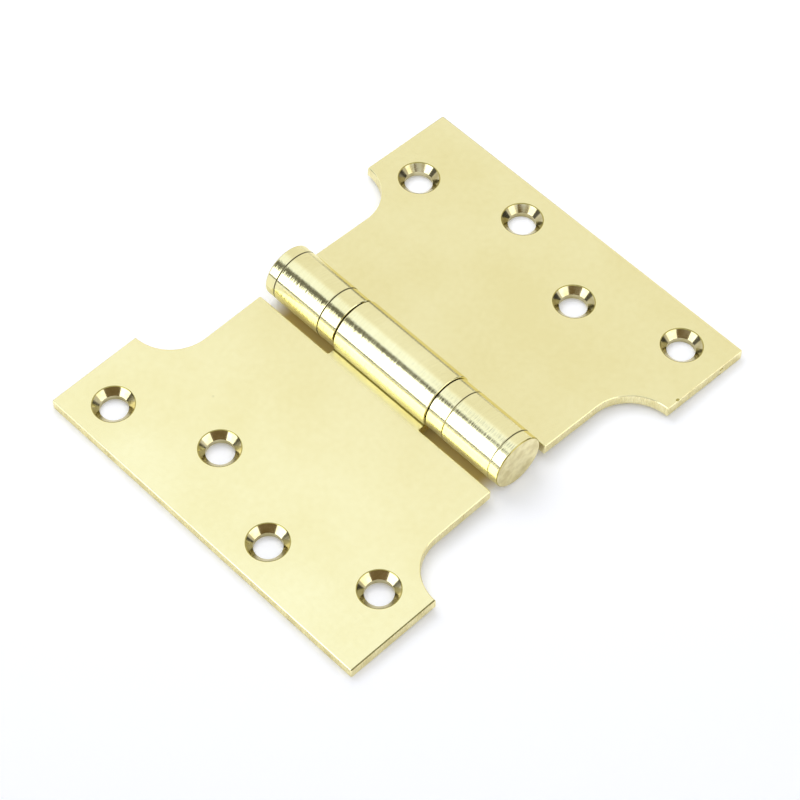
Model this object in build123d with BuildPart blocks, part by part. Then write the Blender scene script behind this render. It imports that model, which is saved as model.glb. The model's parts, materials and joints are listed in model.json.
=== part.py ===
from build123d import *
from math import asin, atan2, cos, degrees, hypot, sin
import os

# A brass parliament hinge with two ball bearings in its barrel, lying open and face up on a table.
# X runs across the leaves, Y along the pin and Z up. The origin is on the table, under the barrel's middle.
# All sizes are in millimetres.

# Leaves
leaf_height = 101.6
leaf_reach = 64.3
notch_radius = 11.8
flange_width = 26.0
leaf_thickness = 3.0
leaf_drop = 2.0
slot_clearance = 1.6
corner_radius = 0.4
arris_radius = 0.3

# Screw holes, alternating between two rows
hole_count = 4
hole_pitch = 26.6
outer_row_inset = 9.6
inner_row_inset = 19.0
hole_diameter = 7.0
countersink_diameter = 10.3
countersink_angle = 90
countersink_arris = 0.15

# Barrel
centre_knuckle_diameter = 14.8
end_knuckle_step = 0.3
end_knuckle_length = 15.0
knuckle_arris = 0.3
cap_thickness = 3.0
cap_step = 0.05
cap_chamfer = 0.4
spigot_length = 4.0
axial_play = 0.4

# Pin
pin_diameter = 6.0
pin_chamfer = 0.5
pin_end_gap = 0.4
press_clearance = 0.01
running_clearance = 0.05

# Thrust bearings, one at each end of the centre knuckle
bearing_length = 5.5
collar_step = 0.08
collar_wall = 0.95
collar_gap = 0.2
collar_chamfer = 0.15
race_pin_clearance = 0.12
race_collar_clearance = 0.2
race_chamfer = 0.2
ball_count = 8
ball_diameter = 2.0
ball_clearance = 0.05
groove_depth = 0.3
cage_thickness = 0.8
cage_clearance = 0.15

# Barrel radii, from the pin outwards
centre_knuckle_radius = centre_knuckle_diameter / 2
end_knuckle_radius = centre_knuckle_radius - end_knuckle_step
pin_radius = pin_diameter / 2
press_bore_radius = pin_radius + press_clearance
running_bore_radius = pin_radius + running_clearance
collar_radius = end_knuckle_radius - collar_step
collar_bore_radius = collar_radius - collar_wall
race_bore_radius = pin_radius + race_pin_clearance
running_race_radius = collar_bore_radius - race_collar_clearance
ball_radius = ball_diameter / 2
ball_circle_radius = (race_bore_radius + running_race_radius) / 2

# Distances along the pin from the middle of the barrel, from the end inwards
cap_outer = leaf_height / 2 - notch_radius
end_knuckle_outer = cap_outer - cap_thickness
end_knuckle_inner = end_knuckle_outer - end_knuckle_length
bearing_inner = end_knuckle_inner - bearing_length
bearing_middle = (end_knuckle_inner + bearing_inner) / 2
collar_inner = bearing_inner + collar_gap
race_spacing = ball_diameter - 2 * groove_depth
fixed_race_inner = bearing_middle + race_spacing / 2
running_race_outer = bearing_middle - race_spacing / 2
spigot_inner = end_knuckle_outer - spigot_length
pin_end = spigot_inner - pin_end_gap
centre_knuckle_length = 2 * bearing_inner - axial_play

# The open hinge rests on its centre knuckle and on the lower outer arris of each leaf, so the leaves droop.
pin_height = centre_knuckle_radius
arris_reach = leaf_reach - arris_radius
arris_depth = leaf_drop + leaf_thickness - arris_radius
droop = asin((pin_height - arris_radius) / hypot(arris_reach, arris_depth)) - atan2(arris_depth, arris_reach)

# Planes through the pin's axis: one along each leaf, facing up, and one across the barrel for each end.
# The leaf with the centre knuckle lies against the front bearing, so the play shows at the rear one.
rear_plane = Plane(origin=(0, 0, pin_height), x_dir=(1, 0, 0), z_dir=(0, 1, 0))
front_plane = Plane(origin=(0, 0, pin_height), x_dir=(1, 0, 0), z_dir=(0, -1, 0))
right_plane = Plane(
    origin=(0, 0, pin_height), x_dir=(cos(droop), 0, -sin(droop)), z_dir=(sin(droop), 0, cos(droop))
)
left_plane = Plane(
    origin=(0, -axial_play / 2, pin_height),
    x_dir=(-cos(droop), 0, -sin(droop)),
    z_dir=(-sin(droop), 0, cos(droop)),
)
left_barrel_plane = Plane(origin=left_plane.origin, x_dir=(1, 0, 0), z_dir=(0, 1, 0))

# Hole centres in leaf coordinates
hole_places = []
for number in range(hole_count):
    inset = inner_row_inset if number % 2 else outer_row_inset
    hole_places.append((leaf_reach - inset, (number - (hole_count - 1) / 2) * hole_pitch))


def leaf_plate(tongue_spans):
    """A leaf lying flat, with x counted from the pin's axis, where its tongues end, and z from the axis up."""
    slot_edge = centre_knuckle_radius + slot_clearance
    notch_end = leaf_reach - flange_width
    notch_start = notch_end - notch_radius
    half_height = leaf_height / 2
    half_neck = cap_outer
    with BuildPart() as plate:
        with BuildSketch(Plane.XY.offset(-leaf_drop)) as outline:
            with BuildLine():
                Line((slot_edge, half_neck), (notch_start, half_neck))
                RadiusArc((notch_start, half_neck), (notch_end, half_height), -notch_radius)
                Polyline(
                    (notch_end, half_height),
                    (leaf_reach, half_height),
                    (leaf_reach, -half_height),
                    (notch_end, -half_height),
                )
                RadiusArc((notch_end, -half_height), (notch_start, -half_neck), -notch_radius)
                Polyline((notch_start, -half_neck), (slot_edge, -half_neck), (slot_edge, half_neck))
            make_face()
            for start, end in tongue_spans:
                with Locations((slot_edge / 2, (start + end) / 2)):
                    Rectangle(slot_edge, end - start)
            corners = outline.vertices().group_by(Axis.X)
            fillet(corners[1] + corners[-1], corner_radius)
        extrude(amount=-leaf_thickness)
        fillet(plate.faces().filter_by(Plane.XY).edges(), arris_radius)
        with Locations(Plane.XY.offset(-leaf_drop)):
            with Locations(*hole_places):
                CounterSinkHole(hole_diameter / 2, countersink_diameter / 2, leaf_thickness, countersink_angle)
        countersinks = plate.edges(Select.LAST).filter_by(GeomType.CIRCLE).group_by(SortBy.RADIUS)[-1]
        fillet(countersinks, countersink_arris)
    return plate.part


end_spans = [(-end_knuckle_outer, -end_knuckle_inner), (end_knuckle_inner, end_knuckle_outer)]
centre_span = (-centre_knuckle_length / 2, centre_knuckle_length / 2)
right_plate = leaf_plate(end_spans)
left_plate = leaf_plate([centre_span])


def save(piece, name):
    """Label a finished piece and write it."""
    piece.label = name
    export_step(piece, f"parts/{name}.step")


os.makedirs("parts", exist_ok=True)

# Leaf with the two end knuckles, which hold the pin
with BuildPart() as right_leaf:
    for start, end in end_spans:
        with BuildSketch(rear_plane.offset(start)):
            Circle(end_knuckle_radius)
        extrude(amount=end - start)
    fillet(right_leaf.edges().filter_by(GeomType.CIRCLE), knuckle_arris)
    with Locations(right_plane):
        add(right_plate)
    with BuildSketch(rear_plane):
        Circle(press_bore_radius)
    extrude(amount=cap_outer, both=True, mode=Mode.SUBTRACT)
save(right_leaf.part, "right_leaf")

# Leaf with the centre knuckle, which turns on the pin
with BuildPart() as left_leaf:
    with BuildSketch(left_barrel_plane):
        Circle(centre_knuckle_radius)
    extrude(amount=centre_knuckle_length / 2, both=True)
    fillet(left_leaf.edges().filter_by(GeomType.CIRCLE), knuckle_arris)
    with Locations(left_plane):
        add(left_plate)
    with BuildSketch(left_barrel_plane):
        Circle(running_bore_radius)
    extrude(amount=centre_knuckle_length / 2, both=True, mode=Mode.SUBTRACT)
save(left_leaf.part, "left_leaf")

# Steel pin, pressed in the end knuckles
with BuildPart() as hinge_pin:
    with BuildSketch(rear_plane):
        Circle(pin_radius)
    extrude(amount=pin_end, both=True)
    chamfer(hinge_pin.edges().filter_by(GeomType.CIRCLE), pin_chamfer)
save(hinge_pin.part, "hinge_pin")

for end_name, end_plane in (("rear", rear_plane), ("front", front_plane)):
    # End cap: a flat disc with a spigot pressed in the knuckle's bore
    with BuildPart() as cap:
        with BuildSketch(end_plane.offset(end_knuckle_outer)):
            Circle(end_knuckle_radius - cap_step)
        extrude(amount=cap_thickness)
        rim = cap.edges().filter_by(GeomType.CIRCLE).sort_by(Axis(end_plane.origin, end_plane.z_dir))[-1]
        chamfer(rim, cap_chamfer)
        with BuildSketch(end_plane.offset(spigot_inner)):
            Circle(pin_radius)
        extrude(amount=spigot_length)
    save(cap.part, f"{end_name}_cap")

    # Brass collar that closes the bearing in, seated on the end knuckle
    with BuildPart() as collar:
        with BuildSketch(end_plane.offset(collar_inner)):
            Circle(collar_radius)
        extrude(amount=end_knuckle_inner - collar_inner)
        chamfer(collar.edges().filter_by(GeomType.CIRCLE), collar_chamfer)
        with BuildSketch(end_plane.offset(collar_inner)):
            Circle(collar_bore_radius)
        extrude(amount=end_knuckle_inner - collar_inner, mode=Mode.SUBTRACT)
    save(collar.part, f"{end_name}_collar")

    # Two grooved steel races: the fixed one in the collar, the running one against the centre knuckle
    race_rows = (
        ("fixed_race", fixed_race_inner, end_knuckle_inner, collar_bore_radius - press_clearance),
        ("running_race", bearing_inner, running_race_outer, running_race_radius),
    )
    for race_name, start, end, outer_radius in race_rows:
        with BuildPart() as race:
            with BuildSketch(end_plane.offset(start)):
                Circle(outer_radius)
                Circle(race_bore_radius, mode=Mode.SUBTRACT)
            extrude(amount=end - start)
            chamfer(race.edges().filter_by(GeomType.CIRCLE), race_chamfer)
            with Locations(end_plane.offset(bearing_middle)):
                Torus(ball_circle_radius, ball_radius + ball_clearance, mode=Mode.SUBTRACT)
        save(race.part, f"{end_name}_{race_name}")

    # Cage that spaces the balls
    with BuildPart() as cage:
        with BuildSketch(end_plane.offset(bearing_middle)):
            Circle(running_race_radius - cage_clearance / 2)
            Circle(pin_radius + cage_clearance, mode=Mode.SUBTRACT)
            with PolarLocations(ball_circle_radius, ball_count):
                Circle(ball_radius + ball_clearance, mode=Mode.SUBTRACT)
        extrude(amount=cage_thickness / 2, both=True)
    save(cage.part, f"{end_name}_ball_cage")

    # Steel balls
    for number in range(1, ball_count + 1):
        with BuildPart(end_plane.offset(bearing_middle)) as ball:
            with PolarLocations(ball_circle_radius, 1, start_angle=number * 360 / ball_count):
                Sphere(ball_radius)
        save(ball.part, f"{end_name}_ball_{number}")

swing_closed = 180 + 2 * degrees(droop)
slot_slope = atan2(leaf_drop + leaf_thickness, centre_knuckle_radius + slot_clearance)
swing_folded = 180 - 2 * degrees(droop) - 2 * degrees(slot_slope)
print(f"droop {degrees(droop):.3f} deg, closes by {swing_closed:.2f} deg, folds back by {swing_folded:.2f} deg")
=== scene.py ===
import bpy
import bmesh
import json
from math import asin, cos, degrees, pi, radians, sin
from mathutils import Matrix, Vector


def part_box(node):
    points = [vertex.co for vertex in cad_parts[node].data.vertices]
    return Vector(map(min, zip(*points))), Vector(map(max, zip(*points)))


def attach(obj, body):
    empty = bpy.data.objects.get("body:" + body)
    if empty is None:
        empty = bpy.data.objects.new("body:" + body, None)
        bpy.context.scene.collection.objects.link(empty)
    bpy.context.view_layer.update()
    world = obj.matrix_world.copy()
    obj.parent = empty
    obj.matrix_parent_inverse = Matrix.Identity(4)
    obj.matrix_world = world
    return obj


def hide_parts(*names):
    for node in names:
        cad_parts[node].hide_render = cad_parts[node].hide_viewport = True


# A parliament hinge in polished brass, lying open on a white table.
# The hinge's frame: X across the leaves, Y along the pin, Z up, metres. Sizes below are in millimetres.

mm = 0.001

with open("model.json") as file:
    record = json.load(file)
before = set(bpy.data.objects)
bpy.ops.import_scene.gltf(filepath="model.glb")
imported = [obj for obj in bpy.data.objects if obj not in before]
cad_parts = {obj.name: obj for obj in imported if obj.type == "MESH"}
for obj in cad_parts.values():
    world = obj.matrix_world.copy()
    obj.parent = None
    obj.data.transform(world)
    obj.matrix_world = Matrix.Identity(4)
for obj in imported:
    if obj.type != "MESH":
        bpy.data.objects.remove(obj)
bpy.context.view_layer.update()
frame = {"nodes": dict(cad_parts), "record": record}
nodes = frame["nodes"]


def middleAlongPin(node):
    low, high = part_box(node)
    return (low.y + high.y) / 2


# Where the pin runs, how much each leaf droops and how far the left leaf has slid, read from the solids
pinLow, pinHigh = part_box("hinge_pin")
pinAxisHeight = (pinLow.z + pinHigh.z) / 2
mountAxes = {m["name"]: m["axis"] for m in frame["record"]["mounts"]}
leafDroop = asin(mountAxes["right_outer_screw_holes"][0])
leftSlide = middleAlongPin("left_leaf") - middleAlongPin("right_leaf")
print(f"frame loaded, pin at {pinAxisHeight / mm:.2f} mm, leaves droop {degrees(leafDroop):.2f} degrees")

# Where each end knuckle starts and stops, along the pin from its middle. The barrel has a seam at both.
knuckleStart = 21.0
knuckleStop = 36.0


# Camera

photoCamera = {
    "place": (-0.30783, -0.30669, 0.58882),   # metres
    "turn": (36.095, -0.800, -44.035),        # degrees about X, Y and Z
    "lens": 139.334, "sensor": 36.0,
    "nearest": 0.01, "farthest": 50.0,        # metres from the camera that it sees
}


def setCamera(facts):
    data = bpy.data.cameras.new("photoCamera")
    data.lens = facts["lens"]
    data.sensor_width = facts["sensor"]
    data.clip_start = facts["nearest"]
    data.clip_end = facts["farthest"]
    camera = bpy.data.objects.new("photoCamera", data)
    camera.location = facts["place"]
    camera.rotation_euler = [radians(angle) for angle in facts["turn"]]
    bpy.context.scene.collection.objects.link(camera)
    bpy.context.scene.camera = camera


setCamera(photoCamera)
print("camera set")


# Tools for materials

# Sockets of a Mix node, for numbers and for colours
mixShare = 0
numberA, numberB, numberMixed = 2, 3, 0
colourA, colourB, colourMixed = 6, 7, 2

# A noise texture's values mostly lie in these ranges: the tight one gives more contrast
tightNoise = {"From Min": 0.35, "From Max": 0.65}
wideNoise = {"From Min": 0.3, "From Max": 0.7}

white = (1, 1, 1, 1)
lacquer = {"rough": 0.05, "ior": 1.5}
grazingTint = "#FFFBE8"                       # what brass mirrors where it is seen nearly edge on


def toLinear(hexColour):
    values = [int(hexColour[i:i + 2], 16) / 255 for i in (1, 3, 5)]
    return [v / 12.92 if v <= 0.04045 else ((v + 0.055) / 1.055) ** 2.4 for v in values] + [1.0]


def addNode(tree, kind, inputs=None, links=None, **settings):
    node = tree.nodes.new(kind)
    for name, value in settings.items():
        setattr(node, name, value)
    for name, value in (inputs or {}).items():
        node.inputs[name].default_value = value
    for name, source in (links or {}).items():
        tree.links.new(source, node.inputs[name])
    return node


def newMaterial(name):
    material = bpy.data.materials.new(name)
    material.use_nodes = True
    tree = material.node_tree
    tree.nodes.clear()
    return material, tree


def perMetre(sizeInMm):
    return 1 / (sizeInMm * mm)


def brassTone(tree, look, share, spreadRange=tightNoise):
    # the colour drifts between the look's pale and deep, as far as the share says
    spread = addNode(tree, "ShaderNodeMapRange", spreadRange, {"Value": share})
    tone = addNode(tree, "ShaderNodeMix", {colourA: toLinear(look["pale"]), colourB: toLinear(look["deep"])},
                   {mixShare: spread.outputs[0]}, data_type="RGBA")
    return tone.outputs[colourMixed]


def finishBrass(tree, colour, rough, normal, coat):
    # every brass here is a bare metal mirror under a thin film of clear lacquer
    shader = addNode(tree, "ShaderNodeBsdfPrincipled",
                     {"Metallic": 1.0, "Specular Tint": toLinear(grazingTint),
                      "Coat Weight": coat, "Coat Roughness": lacquer["rough"], "Coat IOR": lacquer["ior"]},
                     {"Base Color": colour, "Roughness": rough, "Normal": normal})
    addNode(tree, "ShaderNodeOutputMaterial", links={"Surface": shader.outputs["BSDF"]})


# Polished brass plate, buffed and then lacquered: a pale yellow mirror with drifts of tone, a faint drag of
# the buff along the pin, a slight swell in the lacquer that softens what it mirrors, and short scratches.
plateBrass = {
    "pale": "#EFE7B2", "deep": "#EAE0A6",
    "patch": 24.0,                            # across the drifts of tone
    "mottle": 1.6, "mottleShare": 0.25,       # across the finer mottling, and its share of the tone
    "dragWidth": 0.12, "dragLength": 9.0, "dragDepth": 0.0004,
    "swell": 2.6, "swellDepth": 0.0012,
    "scratchWidth": 0.06, "scratchLength": 7.0, "scratchTurn": 38, "scratchRough": 0.10,
    "scratched": {"From Min": 0.74, "From Max": 0.80},     # only the noise's highest crests are scratches
    "roughLow": 0.07, "roughHigh": 0.13,
    "rootRough": 0.30, "rootNear": 7.5, "rootFar": 11.5,   # where the buff can't reach in beside the barrel
    "paintedShade": "#5E5416", "cornerShadeShare": 0.93,                # painted shade in the corner against the barrel
    "cornerShadeNear": 7.36, "cornerShadeFar": 7.66,
    "coat": 0.2,
}


def makePlateBrass(look):
    material, tree = newMaterial("lacqueredPlateBrass")
    place = addNode(tree, "ShaderNodeTexCoord").outputs["Object"]
    drift = addNode(tree, "ShaderNodeTexNoise", {"Scale": perMetre(look["patch"]), "Detail": 3.0},
                    {"Vector": place})
    mottle = addNode(tree, "ShaderNodeTexNoise", {"Scale": perMetre(look["mottle"]), "Detail": 2.0},
                     {"Vector": place})
    share = addNode(tree, "ShaderNodeMix", {mixShare: look["mottleShare"]},
                    {numberA: drift.outputs["Fac"], numberB: mottle.outputs["Fac"]}, data_type="FLOAT")
    tone = brassTone(tree, look, share.outputs[numberMixed])
    across, along = perMetre(look["dragWidth"]), perMetre(look["dragLength"])
    stretch = addNode(tree, "ShaderNodeMapping", {"Scale": (across, along, across)}, {"Vector": place})
    drag = addNode(tree, "ShaderNodeTexNoise", {"Scale": 1.0, "Detail": 2.0},
                   {"Vector": stretch.outputs["Vector"]})
    skew = addNode(tree, "ShaderNodeMapping",
                   {"Rotation": (0, 0, radians(look["scratchTurn"])),
                    "Scale": (perMetre(look["scratchWidth"]), perMetre(look["scratchLength"]),
                              perMetre(look["patch"]))},
                   {"Vector": place})
    scratch = addNode(tree, "ShaderNodeTexNoise", {"Scale": 1.0, "Detail": 0.0},
                      {"Vector": skew.outputs["Vector"]})
    worn = addNode(tree, "ShaderNodeMapRange", {**look["scratched"], "To Max": look["scratchRough"]},
                   {"Value": scratch.outputs["Fac"]})
    rough = addNode(tree, "ShaderNodeMapRange",
                    {**wideNoise, "To Min": look["roughLow"], "To Max": look["roughHigh"]},
                    {"Value": drag.outputs["Fac"]})
    roughWorn = addNode(tree, "ShaderNodeMath", links={0: rough.outputs[0], 1: worn.outputs[0]},
                        operation="ADD")
    parts = addNode(tree, "ShaderNodeSeparateXYZ", links={0: place})
    fromPin = addNode(tree, "ShaderNodeMath", links={0: parts.outputs["X"]}, operation="ABSOLUTE")
    root = addNode(tree, "ShaderNodeMapRange",
                   {"From Min": look["rootFar"] * mm, "From Max": look["rootNear"] * mm,
                    "To Max": look["rootRough"]},
                   {"Value": fromPin.outputs[0]}, interpolation_type="SMOOTHSTEP")
    roughAll = addNode(tree, "ShaderNodeMath", links={0: roughWorn.outputs[0], 1: root.outputs[0]},
                       operation="ADD")
    # painted shade: a dark line painted along the corner where the plate meets the barrel
    corner = addNode(tree, "ShaderNodeMapRange",
                     {"From Min": look["cornerShadeFar"] * mm, "From Max": look["cornerShadeNear"] * mm,
                      "To Max": look["cornerShadeShare"]},
                     {"Value": fromPin.outputs[0]}, interpolation_type="SMOOTHSTEP")
    colour = addNode(tree, "ShaderNodeMix", {colourB: toLinear(look["paintedShade"])},
                     {mixShare: corner.outputs[0], colourA: tone}, data_type="RGBA")
    swell = addNode(tree, "ShaderNodeTexNoise", {"Scale": perMetre(look["swell"]), "Detail": 1.0},
                    {"Vector": place})
    dragBump = addNode(tree, "ShaderNodeBump", {"Strength": 1.0, "Distance": look["dragDepth"] * mm},
                       {"Height": drag.outputs["Fac"]})
    swellBump = addNode(tree, "ShaderNodeBump", {"Strength": 1.0, "Distance": look["swellDepth"] * mm},
                        {"Height": swell.outputs["Fac"], "Normal": dragBump.outputs["Normal"]})
    finishBrass(tree, colour.outputs[colourMixed], roughAll.outputs[0], swellBump.outputs["Normal"],
                look["coat"])
    return material


# Milled brass on the leaf's edges, only lightly polished: a duller yellow with fine upright cutter lines,
# darker in places where polish and lacquer have gathered.
edgeBrass = {
    "pale": "#F6EEC0", "deep": "#DACE94",
    "patch": 3.2,
    "spread": {"From Min": 0.38, "From Max": 0.66},
    "lineWidth": 0.16, "lineLength": 2.5, "lineDepth": 0.004, "lineShare": 0.45,
    "roughLow": 0.20, "roughHigh": 0.34,
    "coat": 0.2,
}


def makeEdgeBrass(look):
    material, tree = newMaterial("milledEdgeBrass")
    place = addNode(tree, "ShaderNodeTexCoord").outputs["Object"]
    patch = addNode(tree, "ShaderNodeTexNoise", {"Scale": perMetre(look["patch"]), "Detail": 4.0},
                    {"Vector": place})
    across, along = perMetre(look["lineWidth"]), perMetre(look["lineLength"])
    upright = addNode(tree, "ShaderNodeMapping", {"Scale": (across, across, along)}, {"Vector": place})
    lines = addNode(tree, "ShaderNodeTexNoise", {"Scale": 1.0, "Detail": 3.0},
                    {"Vector": upright.outputs["Vector"]})
    both = addNode(tree, "ShaderNodeMix", {mixShare: look["lineShare"]},
                   {numberA: patch.outputs["Fac"], numberB: lines.outputs["Fac"]}, data_type="FLOAT")
    tone = brassTone(tree, look, both.outputs[numberMixed], look["spread"])
    rough = addNode(tree, "ShaderNodeMapRange",
                    {**wideNoise, "To Min": look["roughLow"], "To Max": look["roughHigh"]},
                    {"Value": lines.outputs["Fac"]})
    bump = addNode(tree, "ShaderNodeBump", {"Strength": 1.0, "Distance": look["lineDepth"] * mm},
                   {"Height": lines.outputs["Fac"]})
    finishBrass(tree, tone, rough.outputs[0], bump.outputs["Normal"], look["coat"])
    return material


# Turned brass on the knuckles, collars and the sides of the caps: polished on the lathe, so rings run round
# it and fray the edges of what it mirrors, and painted shade darkens the seams between the pieces.
turnedBrass = {
    "pale": "#EFE8B4", "deep": "#E6DDA4",
    "patch": 11.0,
    "ringWidth": 0.34, "ringLength": 4.0,     # along the pin and round it
    "ringDepth": 0.030, "ringShare": 0.3,
    "waver": 1.7, "waverDepth": 0.014,
    "roughLow": 0.07, "roughHigh": 0.15,
    "coat": 0.1,
    "seams": (knuckleStop, knuckleStart),
    # painted shade along the seams: how far it spreads, its core, its colour and its depth
    "seamWidth": 0.27, "seamCore": 0.09,
    "seamShadeColour": "#4E431C", "seamDark": 0.85,
    "leftShadeShare": 0.35,                       # the share of the painted seam shade kept on the left side of the front seams
    "sideShadeFrom": 1.0, "sideShadeTo": -6.0,
    "lowRough": 0.42,                         # duller beside the leaf's root, at these heights from the pin
    "lowFrom": 1.0, "lowTo": -0.4,
    "lowKeep": -3.4, "lowEnd": -4.8,
}


def makeTurnedBrass(look):
    material, tree = newMaterial("latheTurnedBrass")
    place = addNode(tree, "ShaderNodeTexCoord").outputs["Object"]
    patch = addNode(tree, "ShaderNodeTexNoise", {"Scale": perMetre(look["patch"]), "Detail": 3.0},
                    {"Vector": place})
    around, along = perMetre(look["ringLength"]), perMetre(look["ringWidth"])
    stretch = addNode(tree, "ShaderNodeMapping", {"Scale": (around, along, around)}, {"Vector": place})
    rings = addNode(tree, "ShaderNodeTexNoise", {"Scale": 1.0, "Detail": 3.0},
                    {"Vector": stretch.outputs["Vector"]})
    both = addNode(tree, "ShaderNodeMix", {mixShare: look["ringShare"]},
                   {numberA: patch.outputs["Fac"], numberB: rings.outputs["Fac"]}, data_type="FLOAT")
    tone = brassTone(tree, look, both.outputs[numberMixed])
    # how far along the pin from the nearest seam, the same on both halves of the barrel
    parts = addNode(tree, "ShaderNodeSeparateXYZ", links={0: place})
    fromMiddle = addNode(tree, "ShaderNodeMath", links={0: parts.outputs["Y"]}, operation="ABSOLUTE")
    gaps = []
    for seam in look["seams"]:
        past = addNode(tree, "ShaderNodeMath", {1: seam * mm}, {0: fromMiddle.outputs[0]},
                       operation="SUBTRACT")
        gaps.append(addNode(tree, "ShaderNodeMath", links={0: past.outputs[0]}, operation="ABSOLUTE"))
    nearest = addNode(tree, "ShaderNodeMath", links={0: gaps[0].outputs[0], 1: gaps[1].outputs[0]},
                      operation="MINIMUM")
    # painted shade along the seams, full on the rear seams and weaker towards the left on the front ones
    paintedShade = addNode(tree, "ShaderNodeMapRange",
                    {"From Min": look["seamWidth"] * mm, "From Max": look["seamCore"] * mm,
                     "To Max": look["seamDark"]},
                    {"Value": nearest.outputs[0]}, interpolation_type="SMOOTHSTEP")
    sideShade = addNode(tree, "ShaderNodeMapRange",
                    {"From Min": look["sideShadeTo"] * mm, "From Max": look["sideShadeFrom"] * mm,
                     "To Min": look["leftShadeShare"]},
                    {"Value": parts.outputs["X"]}, interpolation_type="SMOOTHSTEP")
    rear = addNode(tree, "ShaderNodeMath", {1: 0.0}, {0: parts.outputs["Y"]}, operation="GREATER_THAN")
    kept = addNode(tree, "ShaderNodeMath", links={0: sideShade.outputs[0], 1: rear.outputs[0]},
                   operation="MAXIMUM")
    seamShade = addNode(tree, "ShaderNodeMath", links={0: paintedShade.outputs[0], 1: kept.outputs[0]},
                   operation="MULTIPLY")
    colour = addNode(tree, "ShaderNodeMix", {colourB: toLinear(look["seamShadeColour"])},
                     {mixShare: seamShade.outputs[0], colourA: tone}, data_type="RGBA")
    rough = addNode(tree, "ShaderNodeMapRange",
                    {**wideNoise, "To Min": look["roughLow"], "To Max": look["roughHigh"]},
                    {"Value": rings.outputs["Fac"]})
    low = addNode(tree, "ShaderNodeMapRange",
                  {"From Min": pinAxisHeight + look["lowFrom"] * mm,
                   "From Max": pinAxisHeight + look["lowTo"] * mm, "To Max": look["lowRough"]},
                  {"Value": parts.outputs["Z"]}, interpolation_type="SMOOTHSTEP")
    clear = addNode(tree, "ShaderNodeMapRange",
                    {"From Min": pinAxisHeight + look["lowEnd"] * mm,
                     "From Max": pinAxisHeight + look["lowKeep"] * mm},
                    {"Value": parts.outputs["Z"]}, interpolation_type="SMOOTHSTEP")
    root = addNode(tree, "ShaderNodeMath", links={0: low.outputs[0], 1: clear.outputs[0]},
                   operation="MULTIPLY")
    roughLow = addNode(tree, "ShaderNodeMath", links={0: rough.outputs[0], 1: root.outputs[0]},
                       operation="ADD")
    roughAll = addNode(tree, "ShaderNodeMath", links={0: seamShade.outputs[0], 1: roughLow.outputs[0]},
                       operation="MAXIMUM")
    waver = addNode(tree, "ShaderNodeTexNoise", {"Scale": perMetre(look["waver"]), "Detail": 2.0},
                    {"Vector": place})
    ringBump = addNode(tree, "ShaderNodeBump", {"Strength": 1.0, "Distance": look["ringDepth"] * mm},
                       {"Height": rings.outputs["Fac"]})
    bump = addNode(tree, "ShaderNodeBump", {"Strength": 1.0, "Distance": look["waverDepth"] * mm},
                   {"Height": waver.outputs["Fac"], "Normal": ringBump.outputs["Normal"]})
    finishBrass(tree, colour.outputs[colourMixed], roughAll.outputs[0], bump.outputs["Normal"],
                look["coat"])
    return material


# Faced brass on the flat ends of the caps: cut by the tool and hardly polished, so it is satin, mottled and
# a little greyer, with faint rings about the pin.
facedBrass = {
    "pale": "#EEE6BC", "deep": "#D4C997",
    "patch": 2.2,
    "ringPitch": 0.45, "ringDepth": 0.006, "ringStrength": 0.5,
    "grain": 0.35, "grainDepth": 0.008,
    "roughLow": 0.30, "roughHigh": 0.42,
    "coat": 0.2,
}


def makeFacedBrass(look):
    material, tree = newMaterial("facedCapBrass")
    place = addNode(tree, "ShaderNodeTexCoord").outputs["Object"]
    patch = addNode(tree, "ShaderNodeTexNoise", {"Scale": perMetre(look["patch"]), "Detail": 3.0},
                    {"Vector": place})
    fromPin = addNode(tree, "ShaderNodeVectorMath", {1: (0, 0, pinAxisHeight)}, {0: place},
                      operation="SUBTRACT")
    flat = addNode(tree, "ShaderNodeVectorMath", {1: (1, 0, 1)}, {0: fromPin.outputs[0]},
                   operation="MULTIPLY")
    radius = addNode(tree, "ShaderNodeVectorMath", links={0: flat.outputs[0]}, operation="LENGTH")
    turns = addNode(tree, "ShaderNodeMath", {1: 2 * pi * perMetre(look["ringPitch"])},
                    {0: radius.outputs["Value"]}, operation="MULTIPLY")
    rings = addNode(tree, "ShaderNodeMath", links={0: turns.outputs[0]}, operation="SINE")
    grain = addNode(tree, "ShaderNodeTexNoise", {"Scale": perMetre(look["grain"]), "Detail": 2.0},
                    {"Vector": place})
    tone = brassTone(tree, look, patch.outputs["Fac"])
    rough = addNode(tree, "ShaderNodeMapRange",
                    {**wideNoise, "To Min": look["roughLow"], "To Max": look["roughHigh"]},
                    {"Value": grain.outputs["Fac"]})
    ringBump = addNode(tree, "ShaderNodeBump",
                       {"Strength": look["ringStrength"], "Distance": look["ringDepth"] * mm},
                       {"Height": rings.outputs[0]})
    bump = addNode(tree, "ShaderNodeBump", {"Strength": 1.0, "Distance": look["grainDepth"] * mm},
                   {"Height": grain.outputs["Fac"], "Normal": ringBump.outputs["Normal"]})
    finishBrass(tree, tone, rough.outputs[0], bump.outputs["Normal"], look["coat"])
    return material


# Countersunk brass: cut by a drill and left bright, so its cones mirror the studio sharply, with a few rings
# of chatter at a constant depth. The lip is a shade darker, a painted shade on its rounding, and the arris at
# one end of the left leaf carries a darker painted shade still.
countersinkBrass = {
    "patch": 2.4,
    "ringWidth": 0.11, "ringLength": 3.0, "ringDepth": 0.002,
    "roughLow": 0.07, "roughHigh": 0.16,
    "coat": 0.2,
}
countersinkTones = {
    "drilledCountersinkBrass": {"pale": "#C8BF98", "deep": "#B2A778"},
    # the lip's tone is a painted shade, and the arris's tone a darker painted shade
    "paintedShadeLipBrass": {"pale": "#AFA25A", "deep": "#AFA25A"},
    "paintedShadeArrisBrass": {"pale": "#6E6638", "deep": "#6E6638"},
}


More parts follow.
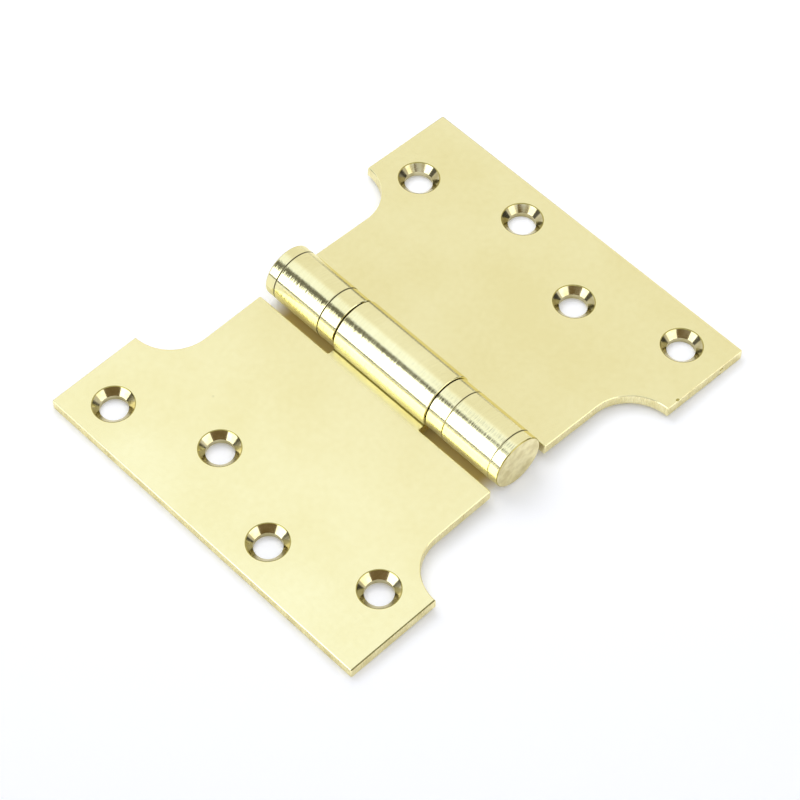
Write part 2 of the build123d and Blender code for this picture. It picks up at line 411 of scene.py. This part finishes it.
def makeCountersinkBrass(look, name, tones):
    material, tree = newMaterial(name)
    place = addNode(tree, "ShaderNodeTexCoord").outputs["Object"]
    patch = addNode(tree, "ShaderNodeTexNoise", {"Scale": perMetre(look["patch"]), "Detail": 2.0},
                    {"Vector": place})
    around, down = perMetre(look["ringLength"]), perMetre(look["ringWidth"])
    flatten = addNode(tree, "ShaderNodeMapping", {"Scale": (around, around, down)}, {"Vector": place})
    rings = addNode(tree, "ShaderNodeTexNoise", {"Scale": 1.0, "Detail": 2.0},
                    {"Vector": flatten.outputs["Vector"]})
    tone = brassTone(tree, tones, patch.outputs["Fac"])
    rough = addNode(tree, "ShaderNodeMapRange",
                    {**wideNoise, "To Min": look["roughLow"], "To Max": look["roughHigh"]},
                    {"Value": rings.outputs["Fac"]})
    bump = addNode(tree, "ShaderNodeBump", {"Strength": 1.0, "Distance": look["ringDepth"] * mm},
                   {"Height": rings.outputs["Fac"]})
    finishBrass(tree, tone, rough.outputs[0], bump.outputs["Normal"], look["coat"])
    return material


# Steels and cage brass inside the barrel. Ground steel is a grey satin with lines round the pin, hardened
# steel a clean dark mirror, and pressed brass a deeper yellow with a film of grease.
innerMetals = {
    "groundPinSteel": {"pale": "#B4B5B6", "deep": "#8E9092", "roughLow": 0.22, "roughHigh": 0.34,
                       "across": 2.0, "along": 0.14, "depth": 0.002},
    "hardenedBearingSteel": {"pale": "#C4C5C8", "deep": "#A2A4A8", "roughLow": 0.08, "roughHigh": 0.16,
                             "across": 1.2, "along": 0.6, "depth": 0.002},
    "pressedCageBrass": {"pale": "#D8BE74", "deep": "#B39650", "roughLow": 0.22, "roughHigh": 0.38,
                         "across": 0.8, "along": 0.8, "depth": 0.002},
}


def makeInnerMetal(name, look):
    material, tree = newMaterial(name)
    place = addNode(tree, "ShaderNodeTexCoord").outputs["Object"]
    across, along = perMetre(look["across"]), perMetre(look["along"])
    stretch = addNode(tree, "ShaderNodeMapping", {"Scale": (across, along, across)}, {"Vector": place})
    marks = addNode(tree, "ShaderNodeTexNoise", {"Scale": 1.0, "Detail": 3.0},
                    {"Vector": stretch.outputs["Vector"]})
    tone = addNode(tree, "ShaderNodeMix", {colourA: toLinear(look["pale"]), colourB: toLinear(look["deep"])},
                   {mixShare: marks.outputs["Fac"]}, data_type="RGBA")
    rough = addNode(tree, "ShaderNodeMapRange",
                    {**wideNoise, "To Min": look["roughLow"], "To Max": look["roughHigh"]},
                    {"Value": marks.outputs["Fac"]})
    bump = addNode(tree, "ShaderNodeBump", {"Strength": 1.0, "Distance": look["depth"] * mm},
                   {"Height": marks.outputs["Fac"]})
    shader = addNode(tree, "ShaderNodeBsdfPrincipled", {"Metallic": 1.0},
                     {"Base Color": tone.outputs[colourMixed], "Roughness": rough.outputs[0],
                      "Normal": bump.outputs["Normal"]})
    addNode(tree, "ShaderNodeOutputMaterial", links={"Surface": shader.outputs["BSDF"]})
    return material


plateMaterial = makePlateBrass(plateBrass)
edgeMaterial = makeEdgeBrass(edgeBrass)
turnedMaterial = makeTurnedBrass(turnedBrass)
facedMaterial = makeFacedBrass(facedBrass)
coneMaterial, lipMaterial, arrisShadeMaterial = [
    makeCountersinkBrass(countersinkBrass, name, tones) for name, tones in countersinkTones.items()
]
innerMaterials = {name: makeInnerMetal(name, look) for name, look in innerMetals.items()}
print("materials made")


# Tools for modelling. Pieces are shaped in millimetres, and set in place and scaled at the end.

near = 0.001              # places closer than this are one place
cutReach = 0.0001         # a cut passing this close to a corner goes through it
square = 0.99             # a normal with this much of an axis in it runs along that axis
wall = 0.5                # a face is a wall where its normal has less than this of Z
smoothAngle = 34          # degrees between faces below which they are shaded as one
flatAngle = 0.5           # degrees between faces below which they are one flat face


def pickOnly(piece):
    if bpy.context.mode != "OBJECT":
        bpy.ops.object.mode_set(mode="OBJECT")
    bpy.ops.object.select_all(action="DESELECT")
    piece.select_set(True)
    bpy.context.view_layer.objects.active = piece


def pickParts(piece, kind, test):
    # opens the piece in edit mode with only the faces or edges picked that pass the test
    pickOnly(piece)
    bpy.ops.object.mode_set(mode="EDIT")
    bpy.ops.mesh.select_mode(type=kind)
    bpy.ops.mesh.select_all(action="DESELECT")
    mesh = bmesh.from_edit_mesh(piece.data)
    for part in list(mesh.faces if kind == "FACE" else mesh.edges):
        part.select_set(bool(test(part)))
    mesh.select_flush_mode()
    bmesh.update_edit_mesh(piece.data)


def splitAt(piece, place, normal, **options):
    pickOnly(piece)
    bpy.ops.object.mode_set(mode="EDIT")
    bpy.ops.mesh.select_all(action="SELECT")
    bpy.ops.mesh.bisect(plane_co=place, plane_no=normal, threshold=cutReach, **options)
    bpy.ops.object.mode_set(mode="OBJECT")


def copyPiece(piece, shift=(0, 0, 0)):
    # a copy with its own mesh, set the shift away
    twin = piece.copy()
    twin.data = piece.data.copy()
    bpy.context.scene.collection.objects.link(twin)
    twin.location = shift
    pickOnly(twin)
    bpy.ops.object.transform_apply(location=True, rotation=True, scale=True)
    return twin


def combine(piece, tool, operation):
    pickOnly(piece)
    step = piece.modifiers.new("combine", "BOOLEAN")
    step.operation = operation
    step.solver = "EXACT"
    step.material_mode = "TRANSFER"
    step.object = tool
    bpy.ops.object.modifier_apply(modifier=step.name)
    bpy.data.objects.remove(tool)


def addRod(radius, start, stop, sides):
    # a turned cylinder along the pin, in leaf coordinates
    bpy.ops.mesh.primitive_cylinder_add(vertices=sides, radius=radius, depth=stop - start,
                                        location=(0, (start + stop) / 2, 0), rotation=(pi / 2, 0, 0))
    rod = bpy.context.object
    bpy.ops.object.transform_apply(location=True, rotation=True, scale=True)
    rod.data.materials.append(turnedMaterial)
    return rod


def onRim(edge):
    # an edge that runs round a rod's end
    return len({round(v.co.y, 3) for v in edge.verts}) == 1


def finishPiece(piece, name, place, body, slot, *replaced):
    pickOnly(piece)
    piece.matrix_world = place @ Matrix.Scale(mm, 4)
    bpy.ops.object.transform_apply(location=True, rotation=True, scale=True)
    piece.name = name
    piece.data.name = name
    bpy.ops.object.shade_smooth_by_angle(angle=radians(smoothAngle))
    weigh = piece.modifiers.new("weigh", "WEIGHTED_NORMAL")
    weigh.keep_sharp = True
    bpy.ops.object.modifier_apply(modifier=weigh.name)
    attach(piece, body)
    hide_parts(*replaced)


pinPlace = Matrix.Translation((0, 0, pinAxisHeight))
turnedRound = Matrix.Rotation(pi, 4, "Z")
drooping = Matrix.Rotation(leafDroop, 4, "Y")
rightPlace = pinPlace @ drooping
leftPlace = Matrix.Translation((0, leftSlide, 0)) @ pinPlace @ turnedRound @ drooping


# Leaves. In leaf coordinates X runs out from the pin, Y along it, and Z up from its axis.

leafForm = {
    "height": 101.6, "reach": 64.3,
    "flange": 26.0,                            # how wide the leaf is at its full height, outside the notches
    "notchRadius": 11.8, "notchSides": 160,
    "thickness": 3.0, "drop": 2.0,             # the top face lies this far under the pin's axis
    "slotEdge": 9.0,                           # where the plate starts beside the other leaf's knuckles
    "cornerRadius": 0.4, "cornerSteps": 6,
    "arris": 0.3, "arrisSteps": 4,
    "sideTilt": 0.3, "endTilt": 0.97,          # a normal with less of Z is edge brass: on sides, and at ends
    "outerInset": 9.6, "innerInset": 19.0, "holePitch": 26.6, "holeCount": 4,
}
plateSlot, edgeSlot, arrisShadeSlot = 0, 1, 2


def makeNotchCutter(form):
    # a rod three plates long whose inner half is cut away, and whose flat face is then drawn out past the slot
    centre = form["reach"] - form["flange"] - form["notchRadius"]
    bpy.ops.mesh.primitive_cylinder_add(vertices=form["notchSides"], radius=form["notchRadius"],
                                        depth=form["thickness"] * 3,
                                        location=(centre, 0, -form["drop"] - form["thickness"] / 2))
    cutter = bpy.context.object
    bpy.ops.object.transform_apply(location=True, rotation=True, scale=True)
    splitAt(cutter, (centre, 0, 0), (1, 0, 0), use_fill=True, clear_inner=True)
    pickParts(cutter, "FACE", lambda face: face.normal.x < -square)
    bpy.ops.mesh.extrude_region_move(TRANSFORM_OT_translate={"value": (-centre, 0, 0)})
    bpy.ops.object.mode_set(mode="OBJECT")
    cutter.data.materials.append(edgeMaterial)
    return cutter


def makeLeafPlate(form, tongueSpans, shadedArrisEnd):
    halfHeight = form["height"] / 2
    neck = halfHeight - form["notchRadius"]
    bpy.ops.mesh.primitive_cube_add(size=1, location=((form["reach"] + form["slotEdge"]) / 2, 0,
                                                      -form["drop"] - form["thickness"] / 2))
    plate = bpy.context.object
    plate.scale = (form["reach"] - form["slotEdge"], form["height"], form["thickness"])
    bpy.ops.object.transform_apply(location=True, rotation=True, scale=True)
    for material in (plateMaterial, edgeMaterial, arrisShadeMaterial):
        plate.data.materials.append(material)
    for span in tongueSpans:
        for y in span:
            splitAt(plate, (0, y, 0), (0, 1, 0))

    def onTongue(face):
        y = face.calc_center_median().y
        return face.normal.x < -square and any(low < y < high for low, high in tongueSpans)

    pickParts(plate, "FACE", onTongue)
    bpy.ops.mesh.extrude_region_move(TRANSFORM_OT_translate={"value": (-form["slotEdge"], 0, 0)})
    bpy.ops.object.mode_set(mode="OBJECT")
    notchCutter = makeNotchCutter(form)
    for end in (-1, 1):
        combine(plate, copyPiece(notchCutter, (0, end * halfHeight, 0)), "DIFFERENCE")
    bpy.data.objects.remove(notchCutter)

    # flat faces back in one piece, then the upright corners, then the arris round both faces
    pickParts(plate, "FACE", lambda face: abs(face.normal.z) > square)
    bpy.ops.mesh.dissolve_limited(angle_limit=radians(flatAngle))
    corners = [(form["reach"], halfHeight), (form["slotEdge"], neck)]
    corners += [(form["slotEdge"], abs(y)) for span in tongueSpans for y in span]

    def atCorner(edge):
        a, b = (v.co for v in edge.verts)
        upright = abs(a.x - b.x) < near and abs(a.y - b.y) < near
        return upright and any(abs(a.x - x) < near and abs(abs(a.y) - y) < near for x, y in corners)

    pickParts(plate, "EDGE", atCorner)
    bpy.ops.mesh.bevel(offset=form["cornerRadius"], segments=form["cornerSteps"], affect="EDGES",
                       clamp_overlap=False)

    def onArris(edge):
        tilts = sorted(abs(face.normal.z) for face in edge.link_faces)
        underKnuckle = all(v.co.x < near for v in edge.verts)
        return len(tilts) == 2 and tilts[0] < wall and tilts[1] > square and not underKnuckle

    pickParts(plate, "EDGE", onArris)
    bpy.ops.mesh.bevel(offset=form["arris"], segments=form["arrisSteps"], affect="EDGES",
                       clamp_overlap=False)
    bpy.ops.object.mode_set(mode="OBJECT")
    endBand = halfHeight - form["arris"]
    for face in plate.data.polygons:
        edgeTilt = form["endTilt"] if abs(face.center.y) > endBand else form["sideTilt"]
        face.material_index = edgeSlot if abs(face.normal.z) < edgeTilt else plateSlot
        # the arris at the chosen end gets a darker painted shade
        if shadedArrisEnd * face.center.y > endBand and form["sideTilt"] < face.normal.z < square:
            face.material_index = arrisShadeSlot
    return plate


# Screw holes: a drill and its countersink in one cutter, copied to each hole
holeForm = {
    "boreRadius": 3.5, "rimRadius": 5.15, "sides": 96,
    "lip": 0.14,                               # how far the lip's rounding reaches
    # the rounded lip's points: up from the face and out from the rim, as shares of lip
    "lipProfile": ((-0.95, -0.95), (-0.42, -0.25), (-0.10, 0.45)),
    "spare": 1.0,                              # how far the cutter stands past both faces
}
coneSlot, lipSlot = 0, 1


def makeHoleCutter(form, leaf):
    # the bore, a 45 degree cone, a rounded lip, and clear above the face
    top = -leaf["drop"]
    bottom = top - leaf["thickness"] - form["spare"]
    bore, rim, lip = form["boreRadius"], form["rimRadius"], form["lip"]
    steps = [(top - (rim - bore), bore)]
    steps += [(top + up * lip, rim + out * lip) for up, out in form["lipProfile"]]
    steps += [(top + near, rim + lip), (top + form["spare"], rim + lip)]
    bpy.ops.mesh.primitive_circle_add(vertices=form["sides"], radius=bore, fill_type="NGON",
                                      location=(0, 0, bottom))
    cutter = bpy.context.object
    bpy.ops.object.transform_apply(location=True, rotation=True, scale=True)
    bpy.ops.object.mode_set(mode="EDIT")
    bpy.ops.mesh.select_all(action="SELECT")
    height, radius = bottom, bore
    for nextHeight, nextRadius in steps:
        bpy.ops.mesh.extrude_region_move(TRANSFORM_OT_translate={"value": (0, 0, nextHeight - height)})
        grow = nextRadius / radius
        bpy.ops.transform.resize(value=(grow, grow, 1), center_override=(0, 0, nextHeight))
        height, radius = nextHeight, nextRadius
    bpy.ops.mesh.select_all(action="SELECT")
    bpy.ops.mesh.normals_make_consistent(inside=False)
    bpy.ops.object.mode_set(mode="OBJECT")
    cutter.data.materials.append(coneMaterial)
    cutter.data.materials.append(lipMaterial)
    # the lip's faces take the lip brass, painted a shade darker
    lipStart = top + form["lipProfile"][0][0] * lip
    for face in cutter.data.polygons:
        onLip = face.center.z > lipStart and abs(face.normal.z) < square
        face.material_index = lipSlot if onLip else coneSlot
    return cutter


# Small knocks on the leaves: place on the top face or the edge, size along X, Y and Z, in leaf coordinates
knocks = {
    "right": [
        {"at": (56.9, -50.85, -2.9), "size": (0.60, 0.30, 0.34)},
        {"at": (56.2, -50.85, -4.7), "size": (0.90, 0.26, 0.40)},
        {"at": (41.9, -50.45, -2.0), "size": (0.50, 0.40, 0.16)},
    ],
    "left": [
        {"at": (36.6, -25.2, -2.0), "size": (0.13, 0.13, 0.04)},
    ],
}


def addKnocks(leaf, knockList):
    for knock in knockList:
        bpy.ops.mesh.primitive_ico_sphere_add(subdivisions=3, radius=1, location=knock["at"])
        dent = bpy.context.object
        dent.scale = knock["size"]
        bpy.ops.object.transform_apply(location=True, rotation=True, scale=True)
        # the dents take the lip brass, painted a shade darker
        dent.data.materials.append(lipMaterial)
        combine(leaf, dent, "DIFFERENCE")


knuckleForm = {
    "endRadius": 7.1, "endBore": 3.01,
    "endSpans": [(-knuckleStop, -knuckleStart), (knuckleStart, knuckleStop)],
    "centreRadius": 7.4, "centreBore": 3.05,
    "centreSpans": [(-15.3, 15.3)],
    "rim": 0.3, "rimSteps": 4,
    "sides": 160, "boreSides": 96,
}


def makeKnuckle(radius, start, stop, form):
    knuckle = addRod(radius, start, stop, form["sides"])
    pickParts(knuckle, "EDGE", onRim)
    bpy.ops.mesh.bevel(offset=form["rim"], segments=form["rimSteps"], affect="EDGES", clamp_overlap=False)
    bpy.ops.object.mode_set(mode="OBJECT")
    return knuckle


def makeLeaf(side, spans, radius, bore, shadedArrisEnd):
    # 1 where the arris of the leaf's +Y end gets a darker painted shade, and 0 where neither end's does
    form = leafForm
    leaf = makeLeafPlate(form, spans, shadedArrisEnd)
    # made in its place, so that its ends lie flush with the tongue's sides, and copied to the other span
    firstStart, firstStop = spans[0]
    knuckle = makeKnuckle(radius, firstStart, firstStop, knuckleForm)
    for span in spans:
        combine(leaf, copyPiece(knuckle, (0, span[0] - firstStart, 0)), "UNION")
    bpy.data.objects.remove(knuckle)
    halfHeight = form["height"] / 2
    combine(leaf, addRod(bore, -halfHeight, halfHeight, knuckleForm["boreSides"]), "DIFFERENCE")
    for number in range(form["holeCount"]):
        inset = form["innerInset"] if number % 2 else form["outerInset"]
        along = (number - (form["holeCount"] - 1) / 2) * form["holePitch"]
        combine(leaf, copyPiece(holeCutter, (form["reach"] - inset, along, 0)), "DIFFERENCE")
    addKnocks(leaf, knocks[side])
    return leaf


holeCutter = makeHoleCutter(holeForm, leafForm)
rightLeaf = makeLeaf("right", knuckleForm["endSpans"], knuckleForm["endRadius"],
                     knuckleForm["endBore"], 0)
finishPiece(rightLeaf, "rightLeafBrass", rightPlace, "right_side", "polished_brass", "right_leaf")
leftLeaf = makeLeaf("left", knuckleForm["centreSpans"], knuckleForm["centreRadius"],
                    knuckleForm["centreBore"], 1)
finishPiece(leftLeaf, "leftLeafBrass", leftPlace, "left_side", "polished_brass", "left_leaf")
bpy.data.objects.remove(holeCutter)
print("leaves made,", len(rightLeaf.data.polygons), "and", len(leftLeaf.data.polygons), "faces")


# End caps: a disc with a softened outer rim and a spigot

capForm = {
    "radius": 7.05, "start": knuckleStop, "stop": 39.0,
    "rim": 0.4, "rimSteps": 4,
    "facedTilt": 0.9, "rimTilt": 0.5,         # a normal with more of Y is the flat face, or the rim by it
    "spigotRadius": 3.0, "spigotLength": 4.0,
    "sides": 160,
}
capSideSlot, capFaceSlot, capRimSlot = 0, 1, 2


def makeCap(form):
    cap = addRod(form["radius"], form["start"], form["stop"], form["sides"])
    cap.data.materials.append(facedMaterial)
    cap.data.materials.append(lipMaterial)
    pickParts(cap, "EDGE", lambda edge: all(abs(v.co.y - form["stop"]) < near for v in edge.verts))
    bpy.ops.mesh.bevel(offset=form["rim"], segments=form["rimSteps"], affect="EDGES", clamp_overlap=False)
    pickParts(cap, "FACE", lambda face: face.normal.y < -square)
    bpy.ops.mesh.inset(thickness=form["radius"] - form["spigotRadius"])
    bpy.ops.mesh.extrude_region_move(TRANSFORM_OT_translate={"value": (0, -form["spigotLength"], 0)})
    bpy.ops.object.mode_set(mode="OBJECT")
    # the rim by the flat face takes the lip brass, painted a shade darker
    for face in cap.data.polygons:
        if face.normal.y > form["facedTilt"]:
            face.material_index = capFaceSlot
        elif face.normal.y > form["rimTilt"]:
            face.material_index = capRimSlot
        else:
            face.material_index = capSideSlot
    return cap


# Bearing collars: a thin tube with a small chamfer on each rim

collarForm = {
    "radius": 7.02, "wall": 0.95, "start": 15.7, "stop": knuckleStart,
    "chamfer": 0.15, "sides": 160,
}


def makeCollar(form):
    collar = addRod(form["radius"], form["start"], form["stop"], form["sides"])
    pickParts(collar, "EDGE", onRim)
    bpy.ops.mesh.bevel(offset=form["chamfer"], segments=1, affect="EDGES", clamp_overlap=False)
    pickParts(collar, "FACE", lambda face: abs(face.normal.y) > square)
    bpy.ops.mesh.inset(thickness=form["wall"] - form["chamfer"])
    bpy.ops.mesh.bridge_edge_loops()
    bpy.ops.object.mode_set(mode="OBJECT")
    return collar


def addPair(piece, kind, slot):
    # the piece at the barrel's rear end, and a copy of it at the front
    front = copyPiece(piece)
    for twin, end, place in ((piece, "rear", pinPlace), (front, "front", pinPlace @ turnedRound)):
        finishPiece(twin, end + kind.title() + "Brass", place, "right_side", slot, end + "_" + kind)


addPair(makeCap(capForm), "cap", "turned_brass")
addPair(makeCollar(collarForm), "collar", "polished_brass")
print("caps and collars made")

# The pin and the bearings keep their solids and get their own metals. The replaced solids get brass.
for name in nodes:
    if name.endswith(("_leaf", "_cap", "_collar")):
        metal = turnedMaterial
    elif name == "hinge_pin":
        metal = innerMaterials["groundPinSteel"]
    elif name.endswith("_cage"):
        metal = innerMaterials["pressedCageBrass"]
    else:
        metal = innerMaterials["hardenedBearingSteel"]
    for materialSlot in nodes[name].material_slots:
        materialSlot.material = metal
print("inner pieces given their metals")


# Studio: a white table, a soft overhead box, a strong box on the left, a weaker one in front, and dark gaps
# between them. Angles are seen from the hinge: azimuth from +X towards +Y, and height above the table.

table = {
    "size": 3.0,                              # metres
    "colour": "#F6F6F6", "rough": 0.6,
    "lift": 0.16,                             # what brings the open table up to the white of the background
    "shade": "#C2AC69", "shadeGlow": 0.13,    # the table under the barrel, in light that brass has warmed
    "shadeWidth": 12.5, "shadeLength": 38.0, "shadeSoft": 6.0,
}
worldLight = {"seen": 1.0, "diffuse": 0.50}
overheadBox = {
    "height": 600, "left": -460, "right": 900, "front": -700, "back": 1100,
    "strength": 1.48, "tint": "#E6EDFF",
    "edge": 221, "lean": 7.35, "soft": 264,                 # lean in degrees
    "holeLevel": 0.5, "holeRadius": 140, "holeSoft": 90,    # a dimmer patch straight above the hinge
}
panels = {
    "leftBox": {"azimuth": (138, 194), "rise": (0, 51), "far": 720,
                "strength": 3.9, "soft": 0.12, "tint": "#ECF2FF", "glossOnly": True},
    "frontBox": {"azimuth": (-98, -48), "rise": (12, 38), "far": 710,
                 "strength": 2.6, "soft": 0.20, "glossOnly": True},
    "tableLamp": {"azimuth": (20, 140), "rise": (42, 86), "far": 560,
                  "strength": 3.4, "soft": 0.5, "tableOnly": True},
    "rearGap": {"azimuth": (118, 146), "rise": (2, 68), "far": 690,
                "strength": 0.17, "soft": 0.30, "wave": 0.16},
    "cameraGap": {"azimuth": (-178, -94), "rise": (18, 47), "far": 690,
                  "strength": 0.28, "soft": 0.12, "tint": "#FFE0AC"},
    "sideGap": {"azimuth": (-42, 2), "rise": (-1, 21), "far": 690,
                "strength": 0.08, "soft": 0.3},
    "rightSill": {"azimuth": (2, 50), "rise": (-9, 9), "far": 95,
                  "strength": 0.36, "soft": 0.5, "glossOnly": True},
    "leftSill": {"azimuth": (118, 200), "rise": (-1.5, 6.0), "far": 680,
                 "strength": 0.05, "soft": 0.4},
}
panelSteps = 24           # faces along each side of a panel
rimWaves = 9.0            # waves of a frayed rim along a panel


def makeTable(facts):
    bpy.ops.mesh.primitive_plane_add(size=facts["size"], location=(0, 0, 0))
    floor = bpy.context.object
    floor.name = "whiteTable"
    material, tree = newMaterial("paleTableTop")
    path = addNode(tree, "ShaderNodeLightPath")
    place = addNode(tree, "ShaderNodeTexCoord").outputs["Object"]
    parts = addNode(tree, "ShaderNodeSeparateXYZ", links={0: place})
    masks = []
    for axis, reach in (("X", facts["shadeWidth"]), ("Y", facts["shadeLength"])):
        size = addNode(tree, "ShaderNodeMath", links={0: parts.outputs[axis]}, operation="ABSOLUTE")
        masks.append(addNode(tree, "ShaderNodeMapRange",
                             {"From Min": reach * mm, "From Max": (reach - facts["shadeSoft"]) * mm},
                             {"Value": size.outputs[0]}, interpolation_type="SMOOTHSTEP"))
    under = addNode(tree, "ShaderNodeMath", links={0: masks[0].outputs[0], 1: masks[1].outputs[0]},
                    operation="MULTIPLY")
    colour = addNode(tree, "ShaderNodeMix",
                     {colourA: toLinear(facts["colour"]), colourB: toLinear(facts["shade"])},
                     {mixShare: under.outputs[0]}, data_type="RGBA")
    paper = addNode(tree, "ShaderNodeBsdfDiffuse", {"Roughness": facts["rough"]},
                    {"Color": colour.outputs[colourMixed]})
    level = addNode(tree, "ShaderNodeMapRange", {"To Min": facts["lift"], "To Max": facts["shadeGlow"]},
                    {"Value": under.outputs[0]})
    seen = addNode(tree, "ShaderNodeMath",
                   links={0: path.outputs["Is Camera Ray"], 1: path.outputs["Is Glossy Ray"]},
                   operation="MAXIMUM")
    strength = addNode(tree, "ShaderNodeMath", links={0: seen.outputs[0], 1: level.outputs[0]},
                       operation="MULTIPLY")
    glow = addNode(tree, "ShaderNodeEmission",
                   links={"Color": colour.outputs[colourMixed], "Strength": strength.outputs[0]})
    both = addNode(tree, "ShaderNodeAddShader", links={0: paper.outputs[0], 1: glow.outputs[0]})
    addNode(tree, "ShaderNodeOutputMaterial", links={"Surface": both.outputs[0]})
    floor.data.materials.append(material)


def makeWorld(facts):
    world = bpy.data.worlds.new("whiteStudio")
    bpy.context.scene.world = world
    world.use_nodes = True
    tree = world.node_tree
    tree.nodes.clear()
    path = addNode(tree, "ShaderNodeLightPath")
    straight = addNode(tree, "ShaderNodeMath",
                       links={0: path.outputs["Is Camera Ray"], 1: path.outputs["Is Glossy Ray"]},
                       operation="MAXIMUM")
    seen = addNode(tree, "ShaderNodeMath",
                   links={0: straight.outputs[0], 1: path.outputs["Is Transmission Ray"]},
                   operation="MAXIMUM")
    bright = addNode(tree, "ShaderNodeBackground", {"Color": white, "Strength": facts["seen"]})
    soft = addNode(tree, "ShaderNodeBackground", {"Color": white, "Strength": facts["diffuse"]})
    both = addNode(tree, "ShaderNodeMixShader",
                   links={"Fac": seen.outputs[0], 1: soft.outputs[0], 2: bright.outputs[0]})
    addNode(tree, "ShaderNodeOutputWorld", links={"Surface": both.outputs[0]})


def panelMaterial(name, facts):
    # a card of light that fades out over soft, a share of its half width, and wave frays its rim
    material, tree = newMaterial(name)
    place = addNode(tree, "ShaderNodeTexCoord").outputs["UV"]
    centred = addNode(tree, "ShaderNodeVectorMath", {1: (-0.5, -0.5, 0)}, {0: place}, operation="ADD")
    size = addNode(tree, "ShaderNodeVectorMath", links={0: centred.outputs[0]}, operation="ABSOLUTE")
    parts = addNode(tree, "ShaderNodeSeparateXYZ", links={0: size.outputs[0]})
    ragged = addNode(tree, "ShaderNodeTexNoise", {"Scale": rimWaves, "Detail": 2.0}, {"Vector": place})
    wave = facts.get("wave", 0.0)
    push = addNode(tree, "ShaderNodeMapRange", {"To Min": -wave, "To Max": wave},
                   {"Value": ragged.outputs["Fac"]})
    bands = []
    for axis in ("X", "Y"):
        moved = addNode(tree, "ShaderNodeMath", links={0: parts.outputs[axis], 1: push.outputs[0]},
                        operation="ADD")
        bands.append(addNode(tree, "ShaderNodeMapRange",
                             {"From Min": 0.5, "From Max": 0.5 - facts["soft"] / 2},
                             {"Value": moved.outputs[0]}, interpolation_type="SMOOTHSTEP"))
    mask = addNode(tree, "ShaderNodeMath", links={0: bands[0].outputs[0], 1: bands[1].outputs[0]},
                   operation="MULTIPLY")
    glow = addNode(tree, "ShaderNodeEmission",
                   {"Color": toLinear(facts.get("tint", "#FFFFFF")), "Strength": facts["strength"]})
    clear = addNode(tree, "ShaderNodeBsdfTransparent")
    both = addNode(tree, "ShaderNodeMixShader",
                   links={"Fac": mask.outputs[0], 1: clear.outputs[0], 2: glow.outputs[0]})
    addNode(tree, "ShaderNodeOutputMaterial", links={"Surface": both.outputs[0]})
    return material


def direction(azimuth, rise):
    turn, climb = radians(azimuth), radians(rise)
    return Vector((cos(turn) * cos(climb), sin(turn) * cos(climb), sin(climb)))


def makePanel(name, facts):
    # a card that follows its azimuths and heights on a sphere about the hinge, and stays above the table
    bpy.ops.mesh.primitive_grid_add(x_subdivisions=panelSteps, y_subdivisions=panelSteps, size=1)
    panel = bpy.context.object
    panel.name = name
    firstAzimuth, lastAzimuth = facts["azimuth"]
    firstRise, lastRise = facts["rise"]
    for v in panel.data.vertices:
        azimuth = firstAzimuth + (v.co.x + 0.5) * (lastAzimuth - firstAzimuth)
        rise = firstRise + (v.co.y + 0.5) * (lastRise - firstRise)
        v.co = direction(azimuth, rise) * facts["far"] * mm
        v.co.z = max(v.co.z, mm)
    panel.data.materials.append(panelMaterial(name + "Glow", facts))
    glossOnly = facts.get("glossOnly", False)
    tableOnly = facts.get("tableOnly", False)
    panel.visible_camera = False
    panel.visible_diffuse = not glossOnly
    panel.visible_glossy = not tableOnly
    panel.visible_shadow = not glossOnly and not tableOnly


def makeOverhead(facts):
    # full strength and a little cool up to its right edge, which leans, where it fades to the room's white
    width, depth = facts["right"] - facts["left"], facts["back"] - facts["front"]
    middle = ((facts["right"] + facts["left"]) / 2 * mm, (facts["back"] + facts["front"]) / 2 * mm,
              facts["height"] * mm)
    bpy.ops.mesh.primitive_plane_add(size=1, location=middle)
    box = bpy.context.object
    box.name = "overheadBox"
    box.scale = (width * mm, depth * mm, 1)
    bpy.ops.object.transform_apply(location=True, rotation=True, scale=True)
    material, tree = newMaterial("overheadGlow")
    place = addNode(tree, "ShaderNodeTexCoord").outputs["Object"]
    lean = radians(facts["lean"])
    across = addNode(tree, "ShaderNodeVectorMath", {1: (cos(lean), sin(lean), 0)}, {0: place},
                     operation="DOT_PRODUCT")
    fade = addNode(tree, "ShaderNodeMapRange",
                   {"From Min": (facts["edge"] - facts["soft"] / 2) * mm,
                    "From Max": (facts["edge"] + facts["soft"] / 2) * mm},
                   {"Value": across.outputs["Value"]}, interpolation_type="SMOOTHSTEP")
    tint = addNode(tree, "ShaderNodeMix", {colourA: toLinear(facts["tint"]), colourB: white},
                   {mixShare: fade.outputs[0]}, data_type="RGBA")
    full = addNode(tree, "ShaderNodeMapRange", {"To Min": facts["strength"], "To Max": 1.0},
                   {"Value": fade.outputs[0]})
    above = addNode(tree, "ShaderNodeVectorMath", {1: (1, 1, 0)}, {0: place}, operation="MULTIPLY")
    reach = addNode(tree, "ShaderNodeVectorMath", links={0: above.outputs[0]}, operation="LENGTH")
    dim = addNode(tree, "ShaderNodeMapRange",
                  {"From Min": facts["holeRadius"] * mm,
                   "From Max": (facts["holeRadius"] + facts["holeSoft"]) * mm,
                   "To Min": facts["holeLevel"]},
                  {"Value": reach.outputs["Value"]}, interpolation_type="SMOOTHSTEP")
    level = addNode(tree, "ShaderNodeMath", links={0: full.outputs[0], 1: dim.outputs[0]},
                    operation="MULTIPLY")
    glow = addNode(tree, "ShaderNodeEmission",
                   links={"Color": tint.outputs[colourMixed], "Strength": level.outputs[0]})
    addNode(tree, "ShaderNodeOutputMaterial", links={"Surface": glow.outputs[0]})
    box.data.materials.append(material)
    box.visible_camera = False


makeTable(table)
makeWorld(worldLight)
makeOverhead(overheadBox)
for panelName, panelFacts in panels.items():
    makePanel(panelName, panelFacts)
bpy.context.scene.view_settings.view_transform = "Standard"
print("studio set")
